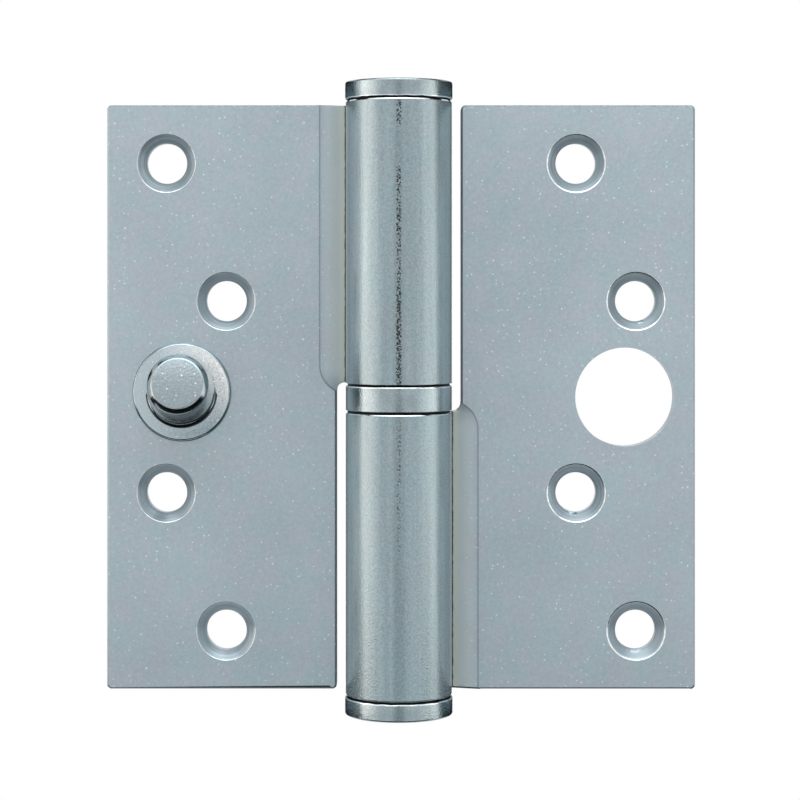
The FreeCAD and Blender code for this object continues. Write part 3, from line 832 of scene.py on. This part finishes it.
class HINGE_OT_bearing_band(bpy.types.Operator):
    """Bright ring between the knuckles"""

    bl_idname = "hinge.bearing_band"
    bl_label = "Bearing band"

    def execute(self, context):
        sizes = context.scene.hinge_sizes
        bore = BARREL - sizes.band_wall
        end = BAND_END - sizes.seam_wear
        outline = [
            (bore, -end),
            (BARREL, -end),
            (BARREL, end - sizes.lip_rise),
            (BARREL - sizes.lip_depth, end),
            (bore, end),
        ]
        piece = turned(outline, ring=True)
        round_edges(piece, sizes.band_edge, lambda place: place.z < 0)
        roughen_rims(piece, end, sizes.seam_wear / 2, grain=0.7 * MM)
        piece.normal_update()
        # The lip takes the rim with a painted highlight
        for face in piece.faces:
            face.material_index = 1 if is_lip(face.normal.z) else 0
        materials = [bright_zinc(), burnished_rim_with_painted_highlight()]
        finished("bearing_band_plated", piece, ["bearing_band"], "frame_side", materials)
        return {"FINISHED"}


class HINGE_OT_security_stud(bpy.types.Operator):
    """Stud that leans a little, with its collar, its shank and the closed head at the back"""

    bl_idname = "hinge.security_stud"
    bl_label = "Security stud"

    def execute(self, context):
        sizes = context.scene.hinge_sizes
        above_middle, thickness = 0.8 * MM, 0.8 * MM
        low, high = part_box("security_stud")
        centre = Vector(((low.x + high.x) / 2, 0, above_middle))
        step = -LEAF_FRONT + thickness
        stud = self.collar_and_shank(sizes, (high.x - low.x) / 2, step)
        cone = self.cone(sizes)
        lean = Matrix.Rotation(-sizes.stud_lean, 4, "X")
        bmesh.ops.transform(cone, matrix=Matrix.Translation((0, 0, step)) @ lean, verts=cone.verts)
        joined = bpy.data.meshes.new("stud parts")
        cone.to_mesh(joined)
        cone.free()
        stud.from_mesh(joined)
        bpy.data.meshes.remove(joined)
        to_leaf = Matrix.Translation(centre) @ Matrix.Rotation(math.radians(90), 4, "X")
        bmesh.ops.transform(stud, matrix=to_leaf, verts=stud.verts)
        collar_middle = centre + Vector((0, LEAF_FRONT - thickness, 0))
        # Middle of the painted highlight on the collar's upper right
        rubbed = collar_middle + Vector((5.0, 0, 4.0)) * MM
        name, colour = "Zinc-plated steel, drawn flank", linear("#98A4A9")
        flank = turned_metal(name, colour, roughness=0.15, line=0.3, along=(0.2, 1.0, 0.2))
        # The root is dark as painted shade in the corner where the stud meets its collar
        name, colour = "Zinc-plated steel, root in painted shade", linear("#343A3D")
        painted_root_shade = turned_metal(name, colour, roughness=0.3, line=0.3)
        # One stud finish, darker on the end as painted shade and lighter on the collar as painted sheen with
        # a painted highlight
        materials = [
            stud_zinc("Zinc-plated steel, upset end", 0.74),
            stud_zinc("Zinc-plated steel, upset collar", 1.1, rubbed),
            flank,
            painted_root_shade,
        ]
        finished("security_stud_plated", stud, ["security_stud"], "door_side", materials)
        return {"FINISHED"}

    def collar_and_shank(self, sizes, collar, step):
        """Collar, shank and closed head, turned round Z with the collar's face at step."""
        shank, head, head_height = 3.5 * MM, 4.9 * MM, 1.4 * MM
        flat_share = 0.74
        brim, dip = 0.42 * MM, 0.14 * MM
        slope = 0.4 * MM
        piece = turned(
            [
                (0, step),
                (flat_share * collar, step),
                (collar - brim, step - dip),
                (collar, step - slope),
                (collar, -LEAF_FRONT),
                (shank, -LEAF_FRONT),
                (shank, head_height - LEAF_BACK),
                (head, -LEAF_BACK),
                (0, -LEAF_BACK),
            ]
        )
        round_edges(piece, sizes.collar_edge, lambda place: place.z > step - slope - MERGE, 5)
        round_edges(piece, sizes.stud_edge)
        piece.normal_update()
        for face in piece.faces:
            face.material_index = FLANK if 0.2 < face.normal.z < 0.95 else COLLAR
        return piece

    def cone(self, sizes):
        """Tapered stud, turned round Z from the collar's face, with a hollow corner at its root."""
        sunk = 0.6 * MM
        root, waist, neck, end = 5.05 * MM, 5.0 * MM, 4.6 * MM, 3.85 * MM
        shoulder, height = 6.3 * MM, 7.1 * MM
        fillet = sizes.stud_root
        piece = turned(
            [
                (0, -sunk),
                (root + fillet, -sunk),
                (root + fillet, -0.25 * fillet),
                (root + 0.35 * fillet, 0.1 * fillet),
                (root, 0.5 * fillet),
                (root, fillet),
                (waist, 0.4 * shoulder),
                (neck, shoulder),
                (end, height),
                (0, height),
            ]
        )
        round_edges(piece, sizes.stud_edge, lambda place: place.z > shoulder - MERGE, 4)
        piece.normal_update()
        for face in piece.faces:
            # The faces at the root take the dark of painted shade
            if face.calc_center_median().z < 0.3 * fillet:
                face.material_index = ROOT
            else:
                face.material_index = FLANK if face.normal.z < 0.97 else END
        return piece


class HINGE_OT_pin(bpy.types.Operator):
    """Ground pin, held in the lower knuckle"""

    bl_idname = "hinge.pin"
    bl_label = "Pin"

    def execute(self, context):
        sizes = context.scene.hinge_sizes
        low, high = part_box("hinge_pin")
        seat = high.x
        shaft = seat - 0.02 * MM
        taper, inset = 1.5 * MM, 0.8 * MM
        piece = turned(
            [
                (0, low.z),
                (seat, low.z),
                (seat, -KNUCKLE_FOOT),
                (shaft, -KNUCKLE_FOOT),
                (shaft, high.z - taper),
                (shaft - inset, high.z),
                (0, high.z),
            ]
        )
        round_edges(piece, sizes.stud_edge, lambda place: abs(place.z) > KNUCKLE_FOOT + taper)
        steel = turned_metal("Ground steel", linear("#B4B6B8"), roughness=0.22, line=0.15)
        finished("hinge_pin_ground", piece, ["hinge_pin"], "frame_side", [steel])
        return {"FINISHED"}


class HINGE_OT_bearing(bpy.types.Operator):
    """Two grooved races, the pressed cage and its balls"""

    bl_idname = "hinge.bearing"
    bl_label = "Ball bearing"

    def execute(self, context):
        edge = context.scene.hinge_sizes.bearing_edge
        # The races are black as painted shade in the seams
        steel = blackened_steel_painted_seam_shade()
        brass = turned_metal("Pressed brass", linear("#C9A35B"), roughness=0.3, line=0.3)
        polished = turned_metal("Polished bearing steel", linear("#C4C6C9"), roughness=0.08, line=0.4)
        for node, body in (("lower_race", "frame_side"), ("upper_race", "race_side")):
            piece = copy_of_node(node)
            round_edges(piece, edge)
            finished(f"{node}_hardened", piece, [node], body, [steel])
        cage = copy_of_node("ball_cage")
        round_edges(cage, edge)
        finished("ball_cage_pressed", cage, ["ball_cage"], "ball_set", [brass])
        low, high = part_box(BALLS[0])
        radius = (high - low).z / 2
        for node in BALLS:
            low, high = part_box(node)
            ball = bmesh.new()
            bmesh.ops.create_uvsphere(
                ball,
                u_segments=24,
                v_segments=12,
                radius=radius,
                matrix=Matrix.Translation((low + high) / 2),
            )
            finished(f"{node}_polished", ball, [node], "ball_set", [polished])
        return {"FINISHED"}


class HINGE_OT_stage(bpy.types.Operator):
    """Pale floor, white surroundings, softboxes, dark cards and the camera"""

    bl_idname = "hinge.stage"
    bl_label = "Stage"

    def execute(self, context):
        scene = context.scene
        studio = scene.hinge_studio
        scene.view_settings.view_transform = "Standard"
        self.surroundings(scene)
        self.floor(studio)
        self.lights(studio)
        self.cards()
        self.camera(scene, studio)
        return {"FINISHED"}

    def shows_plainly(self, tree):
        """Socket that is 1 for rays from the camera and in reflections, and 0 for others."""
        path = add_node(tree, "LightPath")
        rays = {0: path.outputs["Is Camera Ray"], 1: path.outputs["Is Glossy Ray"]}
        return add_node(tree, "Math", rays, operation="MAXIMUM").outputs["Value"]

    def surroundings(self, scene):
        """White to the camera and in reflections, softer on matt surfaces."""
        world = bpy.data.worlds.new("Studio")
        scene.world = world
        world.use_nodes = True
        tree = world.node_tree
        tree.nodes.clear()
        strength = add_node(
            tree, "MapRange", {"Value": self.shows_plainly(tree), "To Min": 0.85, "To Max": 1.0}
        )
        light = add_node(
            tree, "Background", {"Color": (1, 1, 1, 1), "Strength": strength.outputs["Result"]}
        )
        add_node(tree, "OutputWorld", {"Surface": light.outputs["Background"]})

    def floor(self, studio):
        """Pale floor that turns white away from the hinge."""
        material, tree = new_material("Painted board, white")
        place = add_node(tree, "TexCoord").outputs["Object"]
        reach = add_node(tree, "VectorMath", {0: place}, operation="LENGTH")
        fade = add_node(
            tree,
            "MapRange",
            {"Value": reach.outputs["Value"], "From Min": 60 * MM, "From Max": 170 * MM},
            interpolation_type="SMOOTHSTEP",
        )
        plainly = self.shows_plainly(tree)
        share = add_node(tree, "Math", {0: fade.outputs["Result"], 1: plainly}, operation="MULTIPLY")
        paint = add_node(tree, "BsdfDiffuse", {"Color": opaque(linear("#E9E9E9"))})
        glow = add_node(tree, "Emission", {"Color": (1, 1, 1, 1), "Strength": 1.0})
        mixed = add_node(
            tree,
            "MixShader",
            {0: share.outputs["Value"], 1: paint.outputs["BSDF"], 2: glow.outputs["Emission"]},
        )
        add_node(tree, "OutputMaterial", {"Surface": mixed.outputs["Shader"]})
        floor = self.board("Floor", (6, 6), material)
        floor.location.z = -studio.floor_drop

    def board(self, name, size, material):
        """Flat rectangle that belongs to the stage."""
        board = bmesh.new()
        bmesh.ops.create_grid(board, x_segments=1, y_segments=1, size=0.5)
        bmesh.ops.scale(board, vec=(*size, 1), verts=board.verts)
        mesh = bpy.data.meshes.new(name)
        board.to_mesh(mesh)
        board.free()
        mesh.materials.append(material)
        item = bpy.data.objects.new(name, mesh)
        bpy.context.scene.collection.objects.link(item)
        return item

    def placing(self, place, facing):
        """Matrix that sets a flat thing at a place, with its lit side facing a direction."""
        turn = facing.to_track_quat("-Z", "Y").to_matrix().to_4x4()
        return Matrix.Translation(place) @ turn

    def lights(self, studio):
        """Tall softbox on each side, the left one brighter and warmer, and one above the camera."""
        wall = 0.5
        tall, broad = (0.49, 1.2), (0.8, 0.6)
        warm, pale = (1.0, 0.82, 0.7), (1.0, 0.9, 0.8)
        to_right, to_left, down = Vector((1, 0, 0)), Vector((-1, 0, 0)), Vector((0, 0.25, -0.45))
        self.softbox("Left softbox", (-wall, -0.26, 0), to_right, tall, studio.left_light, warm)
        self.softbox("Right softbox", (wall, -0.245, 0), to_left, tall, studio.right_light, pale)
        self.softbox("Top softbox", (0, -0.25, 0.45), down, broad, studio.top_light)

    def softbox(self, name, place, facing, size, radiance, colour=(1, 1, 1)):
        """Softbox with a grid, which shows brightest where it is looked at squarely."""
        half = math.radians(50)
        lamp = bpy.data.lights.new(name, "AREA")
        lamp.color = colour
        lamp.shape = "RECTANGLE"
        lamp.size, lamp.size_y = size
        lamp.spread = 2 * half
        squarely = math.tan(half) / (math.tan(half) - half)
        lamp.energy = radiance / squarely * math.pi * size[0] * size[1]
        box = bpy.data.objects.new(name, lamp)
        box.matrix_world = self.placing(place, facing)
        bpy.context.scene.collection.objects.link(box)

    def cards(self):
        """Black and blue-grey cards that the bright metal reflects, all round the hinge."""
        black = self.felt("Black card", "#101214")
        blue = self.felt("Blue-grey card", "#93A8B0")
        for name, start, end, low, high, material in (
            ("Left upper", -104, -166, 0.062, 0.16, black),
            ("Left middle", -104, -166, -0.091, 0.062, blue),
            ("Left lower", -84, -166, -0.2, -0.091, black),
            ("Right upper", 84, 166, 0.062, 0.16, black),
            ("Right middle", 92, 166, -0.091, 0.062, blue),
            ("Right lower", 98, 166, -0.2, -0.091, black),
        ):
            self.side_flag(name, start, end, low, high, material)
        self.card("Table flag", (0, -0.16, -0.18), Vector((0, 0, 1)), (1.2, 0.26), black)
        self.card("Roof flag", (0, 0.03, 0.12), Vector((0, 0, -1)), (0.3, 0.07), black)
        behind_camera = -0.55
        to_hinge = Vector((0, 1, 0))
        for name, low, high, width, material in (
            ("Hood", 0.076, 0.1, 0.08, black),
            ("Lens", 0.03, 0.076, 0.04, black),
            ("Housing", -0.026, 0.03, 0.08, black),
            ("Stand", -0.095, -0.026, 0.03, black),
            ("Base", -0.2, -0.11, 0.24, blue),
        ):
            place = (0, behind_camera, (low + high) / 2)
            self.card(f"{name} flag", place, to_hinge, (width, high - low), material)

    def felt(self, name, colour):
        """Felt: matt, so that a reflection shows it as one even tone."""
        material, tree = new_material(name)
        felt = add_node(tree, "BsdfDiffuse", {"Color": opaque(linear(colour))})
        add_node(tree, "OutputMaterial", {"Surface": felt.outputs["BSDF"]})
        return material

    def card(self, name, place, facing, size, material):
        """Card that only reflections see."""
        card = self.board(name, size, material)
        card.matrix_world = self.placing(place, facing)
        card.visible_camera = False
        card.visible_diffuse = False
        card.visible_shadow = False

    def side_flag(self, name, start, end, low, high, material):
        """Card beside the hinge, from one angle to another, where the camera stands at none."""
        away = 0.3
        turn = math.radians((start + end) / 2)
        half = math.radians(abs(end - start) / 2)
        place = Vector((away * math.sin(turn), -away * math.cos(turn), (low + high) / 2))
        facing = Vector((-place.x, -place.y, 0))
        self.card(f"{name} flag", place, facing, (2 * away * math.tan(half), high - low), material)

    def camera(self, scene, studio):
        """Camera that looks straight along Y, with its lens shifted for the framing."""
        lens = bpy.data.cameras.new("Camera")
        lens.lens = studio.lens
        lens.sensor_width = 36
        lens.shift_y = studio.shift
        camera = bpy.data.objects.new("Camera", lens)
        camera.location = (studio.camera_side, -studio.distance, studio.camera_height)
        camera.rotation_euler = (math.radians(90), 0, 0)
        scene.collection.objects.link(camera)
        scene.camera = camera


class HINGE_PT_sidebar(bpy.types.Panel):
    """Steps and settings of the hinge"""

    bl_idname = "HINGE_PT_sidebar"
    bl_label = "Ball Bearing Hinge"
    bl_space_type = "VIEW_3D"
    bl_region_type = "UI"
    bl_category = "Hinge"

    def draw(self, context):
        layout = self.layout
        for operator in OPERATORS:
            layout.operator(operator.bl_idname)
        for group in ("hinge_sizes", "hinge_colours", "hinge_studio"):
            settings = getattr(context.scene, group)
            box = layout.box()
            for name in settings.bl_rna.properties.keys():
                if name not in ("rna_type", "name"):
                    box.prop(settings, name)


OPERATORS = (
    HINGE_OT_leaves,
    HINGE_OT_end_caps,
    HINGE_OT_bearing_band,
    HINGE_OT_security_stud,
    HINGE_OT_pin,
    HINGE_OT_bearing,
    HINGE_OT_stage,
)
GROUPS = (HingeSizes, HingeColours, HingeStudio)


def register():
    for item in (*GROUPS, *OPERATORS, HINGE_PT_sidebar):
        bpy.utils.register_class(item)
    bpy.types.Scene.hinge_sizes = PointerProperty(type=HingeSizes)
    bpy.types.Scene.hinge_colours = PointerProperty(type=HingeColours)
    bpy.types.Scene.hinge_studio = PointerProperty(type=HingeStudio)


def unregister():
    del bpy.types.Scene.hinge_sizes
    del bpy.types.Scene.hinge_colours
    del bpy.types.Scene.hinge_studio
    for item in reversed((*GROUPS, *OPERATORS, HINGE_PT_sidebar)):
        bpy.utils.unregister_class(item)


def main():
    register()
    bpy.ops.hinge.leaves()
    bpy.ops.hinge.end_caps()
    bpy.ops.hinge.bearing_band()
    bpy.ops.hinge.security_stud()
    bpy.ops.hinge.pin()
    bpy.ops.hinge.bearing()
    bpy.ops.hinge.stage()


if __name__ == "__main__":
    main()
